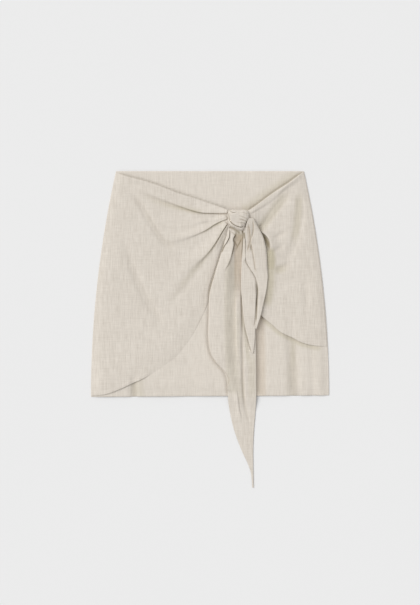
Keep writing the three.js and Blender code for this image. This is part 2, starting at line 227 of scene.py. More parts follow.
FACE_TROUGHS = [
    Trough([(84.8, 218), (86.6, 205), (85.6, 191), (82.4, 175), (83.4, 163), (86.4, 145),
            (89, 129), (91.6, 112)],
           1.5, 1.5, (0.1, 0.1)),
    Trough([(75.8, 212), (79, 196), (80.4, 178), (77, 164), (73.6, 154)], 1.4, 1.5, (0.15, 0.25)),
    Trough([(84, 170), (82.6, 163), (84, 155)], 2, 3, (0.3, 0.3)),
    Trough([(89, 106), (93.6, 84), (93, 56), (91.4, 30), (90.6, 12)], 2.4, 5, (0.3, 0.2)),
]
LONG_TAIL_TROUGHS = [
    Trough([(56, 190), (56, 150), (57, 100), (57, 66)], 9, 3, (0.1, 0.2)),
    Trough([(54, 189), (48.6, 186), (46.2, 178.5), (47.6, 171.5), (46.2, 162), (43.6, 151),
            (40, 138)],
           1.5, 3, (0.1, 0.3)),
    Trough([(38, 197), (36.6, 185), (32, 174), (26.6, 163), (23, 152)], 1.2, 2.2, (0.1, 0.1)),
    Trough([(38, 204.5), (43, 202.5), (50, 199), (57, 193.6), (58, 189)], 2.4, 4, (0.1, 0.2)),
    Trough([(50, 192), (60, 189), (68, 186)], 4, 3.4, (0.2, 0.2)),
    Trough([(62.5, 110), (63.5, 60), (64.5, 10), (65, -30)], 2, 3, (0.1, 0.4)),
    Trough([(64.6, 0), (65, -50), (65.5, -100), (67, -130), (70, -155), (76, -180), (84, -201)],
           2.8, 2.4, (0.1, 0.5)),
    Trough([(63.8, 50), (68.6, 9), (76, -22), (83.2, -46)], 1.7, 1.4, (0.15, 0.1)),
    Trough([(47.6, 179), (52, 170), (57, 160)], 1.5, 2.6, (0.2, 0.3)),
    Trough([(64, 183), (58, 171), (54, 164), (51.4, 154)], 1.6, 2.8, (0.2, 0.4)),
    Trough([(65, 200), (66, 184), (65.2, 170), (63.6, 152), (62.4, 132)], 1.4, 3, (0.05, 0.4)),
]
KNOT_TROUGHS = [
    Trough([(37, 232), (37.2, 226), (39, 218.4), (44.6, 210.4), (51.6, 206.4), (60, 203.8),
            (67, 204.4)],
           1.3, 3.6, (0.1, 0.1)),
    Trough([(38, 237), (41, 235), (47, 232.4), (53, 234.4)], 1.1, 2.2, (0.15, 0.3)),
    Trough([(54, 226), (61, 224.6), (70, 221), (76, 217.6)], 1.2, 1.5, (0.6, 0.05)),
    Trough([(56, 219), (62, 218.2), (70, 215.4), (75, 212.6)], 1.2, 2, (0.5, 0.05)),
    Trough([(48, 214), (58, 213), (66, 210.8), (72, 208.6)], 1.1, 1.6, (0.6, 0.1)),
    Trough([(60, 231), (68, 231.6), (76, 228)], 1.3, 1.2, (0.4, 0.1)),
    Trough([(77.8, 217), (75.6, 213), (73, 209), (70, 200)], 2.9, 10, (0.05, 0.05)),
]
KNOT_FOLDS = [
    Fold([(37.8, 229), (38.4, 225), (40, 218.4), (45.6, 210.8), (52, 206.6), (60, 203.8),
          (67, 204.6)],
         1, 3, (1.6,), (16,), (0.1, 0.15), 1.1),
    Fold([(40, 235), (47, 232.4), (54, 234)],
         1, 1.4, (1.6,), (7,), (0.1, 0.1), 1),
]
KNOT_OUTLINE = [
    (78.6, 224.8), (77.6, 231.4), (74.6, 236.6), (66, 238.6), (56, 237.6), (46, 238.4),
    (38.6, 237), (35, 230.6), (35.6, 221.6), (36.6, 212.6), (41, 205.6), (49.4, 201.6),
    (57, 197.6), (65, 196.6), (69.6, 202.4), (74.6, 211.4), (77.6, 218.4),
]
KNOT_MIDDLE = (57, 219)
KNOT_LEVELS = (8, 22)
KNOT_WAIST_SHARE = 0.25  # where between its levels it is broadest
KNOT_SQUATNESS = 5.5  # a larger number gives it a flatter crown
KNOT_RIM_CROWDING = 1.5  # its rings lie closer towards the rim
KNOT_RUMPLE = dict(height=0.5, size=8, seed=5)
# how much of the painted crease shade the knot gets
KNOT_CREASE_SHADE_SHARE = 0.5

# Painted shade: the cloth's tone darkened in open hollows and shadows, and painted warm shade
# where cloth lies close beside cloth. A line, how far beside it, the width it fades over, and how
# much
ShadeBand = namedtuple("ShadeBand", "points width blend share fades")
# Painted warm shade in the hollow down the long tail under the knot
LONG_TAIL_PAINTED_WARM_SHADE = [
    ShadeBand([(58, 192), (56, 165), (56, 130), (56.5, 90), (57, 30)], 6, 3.5, 0.82, (0.05, 0.4)),
    ShadeBand([(64, 190), (60, 180), (57, 172)], 5, 3, 1, (0.3, 0.3)),
]
# Painted shade on the long tail's flank and beside its folds
LONG_TAIL_PAINTED_SHADE = [
    ShadeBand([(44, 150), (41, 100), (40, 30), (41, -40), (46, -100), (52, -134)],
         7, 9, 0.3, (0.1, 0.1)),
    ShadeBand([(54, 60), (53, 0), (54, -60), (60, -120), (64, -150)], 5, 5, 0.2, (0.2, 0.2)),
    ShadeBand([(83, -44), (84, -91), (82, -150)], 4, 7, 0.3, (0.2, 0.3)),
    ShadeBand([(57, 197), (57, 184), (56, 160)], 5, 7, 0.4, (0.1, 0.5)),
    ShadeBand([(69, 30), (70, 0), (73, -30), (76, -56), (78, -90)], 1.5, 5, 0.4, (0.1, 0.3)),
]
# Painted warm shade between the knot and the short tail's face
FACE_PAINTED_WARM_SHADE = [
    ShadeBand([(74, 208), (76, 196), (78, 178), (76, 162), (74, 150)], 1, 4, 0.5, (0.1, 0.3)),
]
# Painted warm shadow of the long tail on the underskirt beside it
UNDERSKIRT_PAINTED_WARM_SHADE = [
    ShadeBand([(98, 34), (98, 0), (99, -60), (100, -135)], 7, 9, 0.55, (0.05, 0.02)),
]
# Painted shade on the underskirt along the wraps' edges and in its troughs
UNDERSKIRT_PAINTED_SHADE = [
    ShadeBand([(184, 316), (155, 297), (129, 280), (109, 266), (89, 251), (76, 242), (60, 241)],
         1, 17, 0.42, (0.1, 0.1)),
    ShadeBand([(167, -14), (166, -50), (165, -96)], 1, 7, 0.32, (0.02, 0.4)),
    ShadeBand([(166, -50), (163, -90), (160, -134)], 5, 10, 0.12, (0.4, 0.02)),
    ShadeBand([(106, 22), (124, 6), (141, -8), (166, -20), (180, -28), (202, -34), (228, -38)],
         2, 6, 0.55, (0.05, 0.1)),
    ShadeBand([(-147, -98), (-145, -115), (-144, -134)], 5, 14, 0.3, (0.1, 0.02)),
]
# Painted shade in the left wrap's dips and in the shadow beside the short tail
LEFT_WRAP_PAINTED_SHADE = [
    ShadeBand([(102, 192), (109, 184), (113.5, 174), (114.5, 162), (114, 150)], 2, 4, 0.5, (0.15, 0.35)),
    ShadeBand([(160, 282), (142, 258), (124, 232), (108, 212), (98, 198)], 3, 11, 0.4, (0.3, 0.05)),
    ShadeBand([(176, 282), (177, 250), (174, 215), (170, 190), (163, 168)], 3, 8, 0.42, (0.25, 0.3)),
    ShadeBand([(118, 164), (121, 144), (120, 128), (119, 104)], 5, 9, 1, (0.15, 0.3)),
    ShadeBand([(118, 130), (132, 119), (146, 122), (160, 132)], 3, 9, 0.5, (0.1, 0.5)),
    ShadeBand([(119, 126), (118, 90), (114, 64), (108, 42)], 4, 12, 0.7, (0.1, 0.25)),
]
# Painted shade along the right wrap's folds
RIGHT_WRAP_PAINTED_SHADE = [
    ShadeBand([(-84, 250), (-50, 241), (-14, 234)], 1.5, 5, 0.6, (0.4, 0.2)),
    ShadeBand([(-22, 189), (2, 205), (28, 217)], 1.5, 4, 0.45, (0.4, 0.15)),
    ShadeBand([(-150, 274), (-90, 251), (-44, 240), (-14, 234)], 1, 9, 0.4, (0.5, 0.1)),
    ShadeBand([(-90, 40), (-50, 96), (-12, 142), (14, 180), (33, 212)], 1, 8, 0.3, (0.4, 0.05)),
]

# The tails' outlines, from the tip up to the knot
Row = namedtuple("Row", "y left right")
LONG_TAIL = [
    Row(-316, 84.7, 87.1), Row(-290, 82.6, 86.6), Row(-270, 76.6, 86.2), Row(-240, 62.8, 86),
    Row(-205, 49.8, 87.4), Row(-170, 41, 90.2), Row(-137, 36.2, 92.2), Row(-105, 34.6, 92.2),
    Row(-84, 28.4, 92), Row(-62, 9.8, 91.8), Row(-40, -0.6, 91.4), Row(-10, -3.4, 90.6),
    Row(30, -2.4, 90.6), Row(70, -0.8, 91.5), Row(110, 9.5, 91.5), Row(150, 22, 86),
    Row(185, 32.5, 76), Row(207, 38, 69),
]
STRIP = [
    Row(-47, 84, 86.4), Row(-22, 77, 89), Row(9, 69.5, 90), Row(49, 64.8, 91), Row(89, 62, 92.4),
    Row(135, 63.6, 88), Row(170, 66, 81), Row(203, 67, 75),
]
FACE = [
    Row(2, 90.2, 92.6), Row(30, 91, 101.2), Row(56, 93, 107), Row(78, 94, 112), Row(103, 91, 114.6),
    Row(120, 81, 114.2), Row(136, 72.6, 113.4), Row(157, 70.8, 112), Row(183, 70, 106),
    Row(203, 71, 96), Row(221, 76, 86),
]
LONG_TAIL_LEVEL = 5.6
STRIP_LEVEL = 8.9
FACE_LEVEL = 11.3
FACE_DROP = dict(height=1.1, from_x=92, width=20)
LONG_TAIL_BODY = 3
LONG_TAIL_END_BODY = 1.7
LONG_TAIL_BODY_REACH = 30
STRIP_BODY = 2.2
FACE_BODY = 1.8
TAIL_EDGE_ROUND = 1.1
TAIL_EDGE_PLUMP = 0.35
TAIL_MIDDLE = 0.45
TAIL_RUMPLE = 0.7
# Where the long tail comes down over the hem to the table
OFF_THE_HEM = dict(y=-133, width=34, height=3.7, rise_width=40)

# Linen: tones as linear colours, yarn sizes in metres
LIGHT_YARN = (0.79, 0.731, 0.655)
DARK_YARN = (0.60, 0.545, 0.476)
UNDER_LIGHT_YARN = (0.79, 0.732, 0.656)
UNDER_DARK_YARN = (0.638, 0.582, 0.511)
PAINTED_SHADE_TONE = (0.80, 0.79, 0.68)  # painted shade: the shares of the cloth's tone that are left in its hollows
PAINTED_WARM_SHADE_TONE = (0.83, 0.77, 0.70)  # and in its painted warm shade
PAINTED_CREASE_SHADE_TONE = (0.41, 0.37, 0.28)  # painted crease shade: what the sharpest crease leaves of the cloth's tone
# How sharp a trough or fold must be for its crease to get the full painted crease shade
SHARPEST_TROUGH = 2.4  # its depth for its width
SHARPEST_FRONT_TROUGH = 1.6
SHARPEST_FOLD = 3  # its height for its steep rise
FOOT_CREASE_SHADE = dict(width=0.7, by_steep=0.3, upright=0.3)
TROUGH_CREASE_SHADE_NARROWING = 1.5
YARN_PITCH = 0.00045
WEAVE_SHADE = 0.1
Slub = namedtuple("Slub", "across along detail share")
SLUBS = [
    Slub(0.0019, 0.024, 2.0, 0.45),  # warp yarns
    Slub(0.022, 0.0019, 2.0, 0.25),  # weft yarns
    Slub(0.005, 0.09, 1.0, 0.16),  # long streaks of the warp
    Slub(0.13, 0.005, 1.0, 0.08),  # long streaks of the weft
    Slub(0.06, 0.06, 1.0, 0.08),  # clouds
]
SLUB_TONES = (0.29, 0.73)  # the darkest and the lightest yarn's place in the slubs' sum
ROUGH_TONES = (0.3, 0.9)
ROUGHNESS = (0.95, 0.8)
YARN_BUMP = dict(weave=0.35, slubs=1.4, height=0.00022, strength=0.6)
LINEN_SHEEN = dict(weight=0.12, roughness=0.5, tint=(1.0, 0.97, 0.92, 1))
LINEN_SPECULAR = 0.2

# Hem stitches, in metres
STITCH_LINE = 5  # distance from the edge, in millimetres
STITCH_PITCH = 0.0031
STITCH_LENGTH = 0.0023
THREAD_WIDTH = 0.00042
THREAD_LIGHT = (0.84, 0.785, 0.71)
THREAD_DARK = (0.70, 0.645, 0.57)
THREAD_FLATNESS = 0.8  # a stitch's height for its width
UNEVEN_STITCHES = [(0.86, 0.9, 0.9), (1.06, 1.1, 1.1)]  # least and greatest shares of its sizes
STITCH_SEED = 5
THREAD_TWIST = dict(scale=900.0, distortion=1.5)
THREAD_FUZZ_SCALE = 400.0
THREAD_BUMP = dict(height=0.0001, strength=0.5)
THREAD_ROUGHNESS = 0.7
THREAD_SPECULAR = 0.25

# Floor, in metres
FLOOR_HALF = 25.0
FLOOR_LEVEL = -0.0002
FLOOR_GREYS = (0.83, 0.84)
FLOOR_CLOUDS = 2.0
FLOOR_ROUGHNESS = 0.9
FLOOR_SPECULAR = 0.1

# Camera and light
PHOTO_WIDTH = 0.84  # the picture's width on the table
PHOTO_MIDDLE_Y = 0.0538
LENS = 90
SENSOR = 36
FARTHEST_VIEW = 100
KEY_AZIMUTH = 150  # from +X round to the upper left
KEY_ELEVATION = 47
KEY_SHARE = 0.42
KEY_SOFTNESS = 45  # degrees across


def clamp01(t):
    return np.clip(t, 0, 1)


def smooth(t):
    t = clamp01(t)
    return t * t * (3 - 2 * t)


def mix(a, b, t):
    return a + (b - a) * t


def steps(values, t):
    """A value at t, from values given at even steps from 0 to 1."""
    values = np.atleast_1d(values)
    return np.interp(t, np.linspace(0, 1, len(values)), values)


def spline(points, t):
    """Points of a smooth curve through every given point, evenly spaced in t."""
    points = np.array(points, float)
    ends = np.vstack([2 * points[0] - points[1], points, 2 * points[-1] - points[-2]])
    span = clamp01(t) * (len(points) - 1)
    i = np.minimum(span.astype(int), len(points) - 2)
    f = (span - i)[:, None]
    a, b, c, d = ends[i], ends[i + 1], ends[i + 2], ends[i + 3]
    square, cube = 2 * a - 5 * b + 4 * c - d, 3 * b - a - 3 * c + d
    return 0.5 * (2 * b + (c - a) * f + square * f**2 + cube * f**3)


def trace(points, t):
    """Points of a smooth curve at even lengths along it, as x and y."""
    line = spline(points, np.linspace(0, 1, TRACE_STEPS))
    length = np.concatenate([[0], np.cumsum(np.hypot(*np.diff(line, axis=0).T))])
    return [np.interp(t, length / length[-1], line[:, axis]) for axis in (0, 1)]


def unit(vectors):
    return vectors / np.maximum(np.linalg.norm(vectors, axis=-1, keepdims=True), 1e-9)


def half_width(y):
    """Half the skirt's width, which grows faster near the waist than near the hem."""
    down = clamp01((WAIST_Y - y) / (WAIST_Y - HEM_Y))
    return mix(WAIST_WIDTH, HEM_WIDTH, 1 - (1 - down) ** 2) / 2


def inside_side(x, y, reach):
    """0 at the side seams, 1 from a reach inside them."""
    return smooth((half_width(y) - np.abs(x)) / reach)


def knot_rise(x, y):
    away = np.hypot(x - KNOT_HILL["x"], y - KNOT_HILL["y"]) / KNOT_HILL["reach"]
    return KNOT_HILL["height"] * np.exp(-away * away)


Nearest = namedtuple("Nearest", "distance side t toward_x toward_y")


def nearest_on(points, x, y):
    """The nearest place on a line, from each point of a grid."""
    line = spline(points, np.linspace(0, 1, LINE_STEPS + 1))
    distance = np.full(x.shape, np.inf)
    side, t, off_x, off_y = (np.zeros(x.shape) for _ in range(4))
    for i in range(LINE_STEPS):
        (ax, ay), (bx, by) = line[i], line[i + 1]
        dx, dy = bx - ax, by - ay
        along = clamp01(((x - ax) * dx + (y - ay) * dy) / (dx * dx + dy * dy))
        ox, oy = x - ax - along * dx, y - ay - along * dy
        away = np.hypot(ox, oy)
        nearer = away < distance
        distance = np.where(nearer, away, distance)
        side = np.where(nearer, np.sign(dx * oy - dy * ox), side)
        t = np.where(nearer, (i + along) / LINE_STEPS, t)
        off_x = np.where(nearer, ox, off_x)
        off_y = np.where(nearer, oy, off_y)
    reach = np.maximum(distance, 1e-6)
    return Nearest(distance, side, t, -off_x / reach, -off_y / reach)


def ends_fade(fades, t):
    return smooth(t / fades[0]) * smooth((1 - t) / fades[1])


def raise_folds(folds, x, y, z, share=1.0):
    """Raises a surface by its folds, and gives the painted crease shade at their feet."""
    moved_x, moved_y, raised, crease_shade = x.copy(), y.copy(), z.copy(), np.zeros(x.shape)
    for fold in folds:
        near = nearest_on(fold.points, x, y)
        steep = steps(fold.steep, near.t)
        present = ends_fade(fold.fades, near.t) * share
        rise = smooth(near.distance / steep)
        fall = 1 - smooth((near.distance - steep) / steps(fold.soft, near.t))
        part = np.where(near.side == fold.side, present * rise * fall, 0)
        raised += fold.height * part
        lean = steps(fold.lean, near.t)
        moved_x += lean * steep * part * near.toward_x
        moved_y += lean * steep * part * near.toward_y
        # Painted crease shade at the fold's foot
        upright = clamp01(FOOT_CREASE_SHADE["upright"] + lean)
        sharp = smooth(fold.height / steep / SHARPEST_FOLD) * upright
        width = FOOT_CREASE_SHADE["width"] + FOOT_CREASE_SHADE["by_steep"] * steep
        foot = np.exp(-((near.distance / width) ** 2))
        crease_shade = np.maximum(crease_shade, sharp * present * foot)
    return moved_x, moved_y, raised, crease_shade


def sink_troughs(troughs, x, y):
    """How deep a surface's troughs are, and the painted crease shade in them."""
    depth, crease_shade = np.zeros(x.shape), np.zeros(x.shape)
    for trough in troughs:
        near = nearest_on(trough.points, x, y)
        present = ends_fade(trough.fades, near.t)
        hollow = np.exp(-((near.distance / trough.width) ** 2))
        depth += trough.depth * present * hollow
        # Painted crease shade in the trough
        sharp = smooth(trough.depth / trough.width / SHARPEST_TROUGH)
        crease_shade = np.maximum(crease_shade, sharp * present * hollow**TROUGH_CREASE_SHADE_NARROWING)
    return depth, crease_shade


def painted_shade_amount(shade_bands, x, y):
    """How much painted shade darkens a cloth's tone."""
    tone = np.zeros(x.shape)
    for painted_shade in shade_bands:
        near = nearest_on(painted_shade.points, x, y)
        within = 1 - smooth((near.distance - painted_shade.width) / painted_shade.blend)
        tone = np.maximum(tone, painted_shade.share * within * ends_fade(painted_shade.fades, near.t))
    return tone


def crumple(x, y, size, seed):
    """Soft uneven hills from -1 to 1, about `size` across."""
    lattice = np.random.default_rng(seed).uniform(-1, 1, (LATTICE, LATTICE))
    turn = LATTICE_TURN + seed
    gx = (x * math.cos(turn) - y * math.sin(turn)) / size + LATTICE / 2
    gy = (x * math.sin(turn) + y * math.cos(turn)) / size + LATTICE / 2
    ix, iy = np.floor(gx).astype(int), np.floor(gy).astype(int)
    fx, fy = smooth(gx - ix), smooth(gy - iy)
    ix, iy = ix % (LATTICE - 1), iy % (LATTICE - 1)
    low_row = mix(lattice[ix, iy], lattice[ix + 1, iy], fx)
    high_row = mix(lattice[ix, iy + 1], lattice[ix + 1, iy + 1], fx)
    return mix(low_row, high_row, fy)


def rumple(x, y, seed):
    """The small unevenness of linen that has been pressed and handled."""
    hills = enumerate(RUMPLES)
    return sum(height * crumple(x, y, size, seed + i) for i, (height, size) in hills)


def front_dips(x, y):
    """The underskirt's troughs: how deep they are, and the painted crease shade in them."""
    dips, crease_shade = sink_troughs(UNDERSKIRT_TROUGHS, x, y)
    for trough in FRONT_TROUGHS:
        off = (x - trough.x - trough.lean * (y - HEM_Y) / TROUGH_LEAN_HEIGHT) / trough.width
        fade = 1 - smooth((y - HEM_Y) / trough.length - TROUGH_FULL_SHARE)
        hollow = np.exp(-(off**2)) * fade
        dips += trough.depth * hollow
        sharp = smooth(trough.depth / trough.width / SHARPEST_FRONT_TROUGH)
        crease_shade = np.maximum(crease_shade, sharp * hollow)
    return dips, crease_shade


def front_top(x, y):
    """The height of the front's outer face: full in its lower middle, with its troughs."""
    loft = FRONT_LOFT["height"] * smooth((FRONT_LOFT["from_y"] - y) / FRONT_LOFT["length"])
    by_hem = mix(FRONT_LOFT["hem_share"], 1, smooth((y - HEM_Y) / FRONT_LOFT["hem_reach"]))
    loft = loft * inside_side(x, y, FRONT_LOFT["side_reach"]) * by_hem
    top = FRONT_LEVEL + CLOTH + loft - front_dips(x, y)[0]
    above = np.logaddexp(0, (top - FRONT_LOWEST) * FRONT_FLATTENING) / FRONT_FLATTENING
    return FRONT_LOWEST + above + rumple(x, y, seed=1) * inside_side(x, y, FRONT_RUMPLE_REACH)


def wrap_top(x, y, lift, from_hem):
    """A wrap's outer face: its hem stands off the underskirt by its lift, and above it is full."""
    inside = inside_side(x, y, WRAP_SIDE_REACH)
    full = CLOTH + mix(LAYER_GAP, RELIEF_GAP, inside) + WRAP_LOFT * inside
    away = (x - SHOULDER["x"]) ** 2 + (y - SHOULDER["y"]) ** 2
    shoulder = SHOULDER["height"] * np.exp(-away / SHOULDER["reach"] ** 2)
    stand = mix(LINEN + lift, full, smooth(from_hem / SETTLE_REACH))
    return front_top(x, y) + stand + knot_rise(x, y) + shoulder


def waist_roll(from_waist, height):
    """The soft roll along a wrap's waist edge."""
    rise = smooth(from_waist / WAIST_ROLL["rise"] + WAIST_ROLL["start"])
    fall = 1 - smooth((from_waist - WAIST_ROLL["rise"]) / WAIST_ROLL["width"])
    return height * rise * fall


def close_seam(x, y, top, layer):
    """Brings a layer down onto the ones under it at the side seams."""
    closed = LINEN * (layer + 1) + SEAM_GAP * layer
    return mix(closed, top, inside_side(x, y, SEAM_REACH))


def grid_uv(columns, rows, crowd_u=0.0, crowd_v=0.0):
    """Even steps over a sheet, drawn closer to its edges by a share."""
    u = np.linspace(0, 1, columns + 1)
    v = np.linspace(0, 1, rows + 1)
    u = mix(u, 0.5 - 0.5 * np.cos(math.pi * u), crowd_u)
    v = mix(v, 0.5 - 0.5 * np.cos(math.pi * v), crowd_v)
    return np.meshgrid(u, v)


def under_face(x, y, top, thick):
    """The inner face of a cloth, square to its outer one."""
    points = np.stack([x, y, top], -1)
    normal = unit(np.cross(np.gradient(points, axis=1), np.gradient(points, axis=0)))
    return points - normal * thick


def rim_of(shape):
    """The indices round a grid's edge, in order, seen from above."""
    rows, columns = shape
    index = np.arange(rows * columns).reshape(shape)
    return np.concatenate([index[0, :-1], index[:-1, -1], index[-1, :0:-1], index[:0:-1, 0]])


def make_mesh(name, points, quads, grain, painted_shades, material):
    """A piece from points and a grain map in millimetres, with its painted shade as attributes."""
    mesh = bpy.data.meshes.new(name)
    mesh.from_pydata((points * MM).tolist(), [], quads.tolist())
    layer = mesh.uv_layers.new(name="grain")
    corners = np.array([loop.vertex_index for loop in mesh.loops])
    layer.data.foreach_set("uv", (grain[corners] * MM).ravel())
    mesh.polygons.foreach_set("use_smooth", [True] * len(mesh.polygons))
    for tone, values in painted_shades.items():
        mesh.attributes.new(tone, "FLOAT", "POINT").data.foreach_set("value", clamp01(values))
    mesh.materials.append(material)
    mesh.validate()
    piece = bpy.data.objects.new(name, mesh)
    bpy.context.scene.collection.objects.link(piece)
    return piece


# How a cut edge looks from the side: shares down the edge, and how far each stands out
PLAIN_EDGE = [(0.5, 0.3)]
LAYERED_EDGE = [(0.22, 0.35), (0.5, -0.35), (0.78, 0.35)]


def cloth_piece(name, x, y, top, inner, grain_u, grain_v, edge, material, **painted_shades):
    """A closed cloth: its outer face, its inner face and the edge between them.

    The painted shade darkens the outer face and the edge; the inner face stays plain.
    """
    shape = x.shape
    outer = np.stack([x, y, top], -1).reshape(-1, 3)
    inner = inner.reshape(-1, 3)
    count = len(outer)
    index = np.arange(count).reshape(shape)
    face = [index[:-1, :-1], index[:-1, 1:], index[1:, 1:], index[1:, :-1]]
    face = np.stack(face, -1).reshape(-1, 4)
    rim = rim_of(shape)
    heading = outer[np.roll(rim, -1)] - outer[np.roll(rim, 1)]
    outward = unit(np.stack([heading[:, 1], -heading[:, 0]], -1))
    points = [outer, inner]
    rings = [rim]
    for share, stand in edge:
        ring = mix(outer[rim], inner[rim], share)
        ring[:, :2] += outward * stand
        rings.append(2 * count + len(rim) * (len(rings) - 1) + np.arange(len(rim)))
        points.append(ring)
    rings.append(rim + count)
    quads = [face, face[:, ::-1] + count]
    for high_ring, low_ring in zip(rings, rings[1:]):
        beside = [np.roll(low_ring, -1), np.roll(high_ring, -1)]
        quads.append(np.stack([high_ring, low_ring, *beside], -1))
    grain = np.stack([grain_u, grain_v], -1).reshape(-1, 2)
    grain = np.vstack([grain, grain] + [grain[rim]] * len(edge))
    painted_shades = {tone: values.ravel() for tone, values in painted_shades.items()}
    painted_shades = {tone: np.concatenate([v, 0 * v] + [v[rim]] * len(edge)) for tone, v in painted_shades.items()}
    return make_mesh(name, np.vstack(points), np.vstack(quads), grain, painted_shades, material)


def skirt_point(u, v):
    """A point of the underskirt, from one side seam to the other and from the hem to the waist."""
    hem = HEM_Y + HEM_SLANT * (u - 0.5)
    y = mix(hem, WAIST_Y, v)
    return (2 * u - 1) * half_width(y), y


def wrap_point(wrap, across, up):
    """A point between a wrap's hem and waist edge, from the side seam (0) to the knot (1)."""
    side = np.sign(wrap["waist"][0][0])
    hem_x, hem_y = trace(wrap["hem"], across)
    waist_x, waist_y = trace(wrap["waist"], across)
    straight_x = mix(wrap["hem"][0][0], wrap["waist"][0][0], up)
    straight_y = mix(wrap["hem"][0][1], wrap["waist"][0][1], up)
    inset = half_width(wrap["hem"][0][1]) - abs(wrap["hem"][0][0])
    seam = side * (half_width(straight_y) - inset)
    x = mix(hem_x, waist_x, up) + (1 - across) * (seam - straight_x)
    return x, mix(hem_y, waist_y, up)


def tail_point(outline, u, v):
    """A point of a tail, from its left edge to its right one and from its tip to the knot."""
    t = v[:, 0]
    left = spline([(row.left, row.y) for row in outline], t)
    right = spline([(row.right, row.y) for row in outline], t)
    return (mix(left[:, [axis]], right[:, [axis]], u) for axis in (0, 1))


def turned_hem(distance):
    """How much higher the cloth is over a narrow turned hem, at a distance from the edge."""
    thicker = HEM_TURN_LIFT * (1 - smooth((distance - HEM_TURN) / HEM_TURN_ROUND))
    return thicker - HEM_EDGE_DROP * (1 - smooth(distance / HEM_TURN_ROUND))


def line_beside_hem(from_hem, x, y, top):
    """The line on a cloth where its turned hem is stitched down."""
    return [
        [np.interp(STITCH_LINE, from_hem[:, j], values[:, j]) for values in (x, y, top)]
        for j in range(2, x.shape[1] - 2)
    ]


def make_back(material):
    u, v = grid_uv(columns=60, rows=60, crowd_u=0.5, crowd_v=0.5)
    x, y = skirt_point(u, v)
    top = np.full(x.shape, LINEN)
    inner = np.stack([x, y, np.zeros(x.shape)], -1)
    return cloth_piece("back_cloth", x, y, top, inner, x, y, PLAIN_EDGE, material)


def make_front(material):
    u, v = grid_uv(columns=240, rows=150, crowd_u=0.3, crowd_v=0.3)
    x, y = skirt_point(u, v)
    top = close_seam(x, y, front_top(x, y), layer=1)
    to_edge = np.minimum(WAIST_Y - y, y - HEM_Y - HEM_SLANT * (u - 0.5))
    top = top - FRONT_EDGE["drop"] * (1 - smooth(to_edge / FRONT_EDGE["width"]))
    inner = under_face(x, y, top, LINEN)
    # Painted shade on the underskirt: in its creases, its hollows, and warm beside the long tail
    painted_shades = {
        "crease_shade": front_dips(x, y)[1],
        "painted_shade": painted_shade_amount(UNDERSKIRT_PAINTED_SHADE, x, y),
        "painted_warm_shade": painted_shade_amount(UNDERSKIRT_PAINTED_WARM_SHADE, x, y),
    }
    piece = cloth_piece("front_cloth", x, y, top, inner, x, y, PLAIN_EDGE, material, **painted_shades)
    return piece, line_beside_hem(y - y[:1], x, y, top)


def make_wrap(name, wrap, folds, troughs, shade_bands, columns, rows, seed, material):
    """A wrap, from its hem to its waist edge and from the side seam to the knot."""
    across, up = grid_uv(columns, rows, crowd_u=0.1, crowd_v=0.45)
    if wrap["waist"][0][0] > 0:
        across = across[:, ::-1]
    x, y = wrap_point(wrap, across, up)
    length = np.hypot(x[-1] - x[0], y[-1] - y[0])
    from_hem, from_waist = up * length, (1 - up) * length
    lift = np.interp(across, *zip(*wrap["lift"]))
    share = inside_side(x, y, FOLD_SIDE_REACH)
    top = wrap_top(x, y, lift, from_hem) + WRAP_RUMPLE * rumple(x, y, seed)
    top = top + waist_roll(from_waist, wrap["roll"]) * share
    depth, crease_shade = sink_troughs(troughs, x, y)
    top = top - depth * share * smooth(from_hem / WRAP_TROUGH_HEM_REACH)
    top = close_seam(x, y, np.maximum(top, front_top(x, y) + LINEN), layer=2)
    flush = 1 - clamp01(lift / FLUSH_LIFT)
    flat_hem = -FLUSH_HEM["drop"] * (1 - smooth(from_hem / FLUSH_HEM["width"]))
    top = top + mix(turned_hem(from_hem), flat_hem, flush)
    moved_x, moved_y, top, fold_crease_shade = raise_folds(folds, x, y, top, share)
    inner = under_face(moved_x, moved_y, top, LINEN)
    # Painted shade in the wrap's creases and hollows
    painted_shades = {"crease_shade": np.maximum(crease_shade, fold_crease_shade), "painted_shade": painted_shade_amount(shade_bands, x, y)}
    piece = cloth_piece(name, moved_x, moved_y, top, inner, x, y, PLAIN_EDGE, material, **painted_shades)
    return piece, line_beside_hem(from_hem, moved_x, moved_y, top)


def long_tail_under(x, y):
    above = y - OFF_THE_HEM["y"]
    over_hem = OFF_THE_HEM["height"] * smooth(above / OFF_THE_HEM["width"] + 1)
    higher = (LONG_TAIL_LEVEL - OFF_THE_HEM["height"]) * smooth(above / OFF_THE_HEM["rise_width"])
    return over_hem + higher + knot_rise(x, y)


def long_tail_body(y):
    full = smooth((y - OFF_THE_HEM["y"]) / LONG_TAIL_BODY_REACH + 1)
    return mix(LONG_TAIL_END_BODY, LONG_TAIL_BODY, full)


def strip_under(x, y):
    return STRIP_LEVEL + knot_rise(x, y)


def face_under(x, y):
    drop = FACE_DROP["height"] * smooth((x - FACE_DROP["from_x"]) / FACE_DROP["width"])
    return FACE_LEVEL - drop + knot_rise(x, y)


